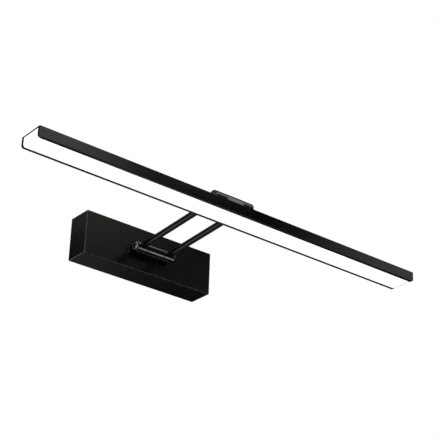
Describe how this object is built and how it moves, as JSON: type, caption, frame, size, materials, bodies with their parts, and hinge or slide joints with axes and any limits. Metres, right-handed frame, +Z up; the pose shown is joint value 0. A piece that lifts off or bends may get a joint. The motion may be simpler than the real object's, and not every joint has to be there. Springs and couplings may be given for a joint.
{
  "type": "picture light",
  "caption": "Slim wall-mounted picture light: an oblong wall box, a twin-rod arm hinged at both ends and a long linear LED head with an opal diffuser that tilts over a picture.",
  "frame": {"origin": "centre of the wall plane behind the wall box", "axes": "+X to the right along the light, +Y into the wall, +Z up"},
  "size_m": [0.6, 0.2397, 0.0637],
  "materials": {
    "black_sheet": "satin",
    "black_gloss_metal": "gloss",
    "black_rod": "satin",
    "black_anodised": "satin",
    "black_screw": "satin",
    "opal": "satin",
    "zinc_steel": "satin",
    "steel_plain": "satin",
    "brass_plain": "satin",
    "rubber_black": "matte",
    "nylon_dark": "matte",
    "white_plastic": "satin",
    "board_green": "satin",
    "board_white": "matte",
    "led_face": "gloss",
    "transformer_dark": "satin",
    "capacitor_can": "gloss",
    "wire_brown": "satin",
    "wire_green": "satin",
    "lead_black": "satin"
  },
  "bodies": {
    "wall_base": {"back_plate": "zinc_steel", "plate_tabs": "zinc_steel", "box_cover": "black_sheet", "cover_clips": "zinc_steel", "cover_screws": "black_screw", "cable_grommet": "rubber_black", "hinge_backing_plate": "zinc_steel", "wall_knuckle": "black_gloss_metal", "hinge_stud": "brass_plain", "lock_washer": "zinc_steel", "stud_nut": "brass_plain", "locating_pin": "steel_plain", "wall_grub_screws": "black_screw", "driver_case": "white_plastic", "driver_lid": "white_plastic", "driver_board": "board_green", "driver_transformer": "transformer_dark", "driver_capacitors": "capacitor_can", "driver_screws": "steel_plain", "terminal_block": "white_plastic", "terminal_sleeves": "brass_plain", "terminal_screws": "steel_plain", "terminal_fixing_screw": "steel_plain", "mains_leads": "wire_brown", "earth_lead": "wire_green", "earth_tag": "steel_plain", "earth_screw": "brass_plain", "base_lead": "lead_black"},
    "arm": {"wall_barrel_left": "black_gloss_metal", "wall_barrel_right": "black_gloss_metal", "head_barrel_left": "black_gloss_metal", "head_barrel_right": "black_gloss_metal", "arm_rod_left": "black_rod", "arm_rod_right": "black_rod", "wall_end_screws": "steel_plain", "head_end_screws": "steel_plain", "wall_friction_washers": "nylon_dark", "head_friction_washers": "nylon_dark", "arm_lead": "lead_black"},
    "head": {"head_knuckle": "black_gloss_metal", "head_grub_screws": "black_screw", "knuckle_screws": "steel_plain", "head_housing": "black_anodised", "diffuser": "opal", "diffuser_screws": "black_screw", "led_board": "board_white", "led_chips": "led_face", "board_screws": "steel_plain", "board_connector": "white_plastic", "head_lead": "lead_black"}
  },
  "joints": [
    {"name": "arm_lift", "type": "hinge", "parent": "wall_base", "child": "arm", "pos_m": [0, -0.04687, -0.0014], "axis": [-1, 0, 0], "range_deg": [-90, 85]},
    {"name": "head_tilt", "type": "hinge", "parent": "arm", "child": "head", "pos_m": [0, -0.21279, 0.00904], "axis": [1, 0, 0], "range_deg": [-145, 25]}
  ]
}
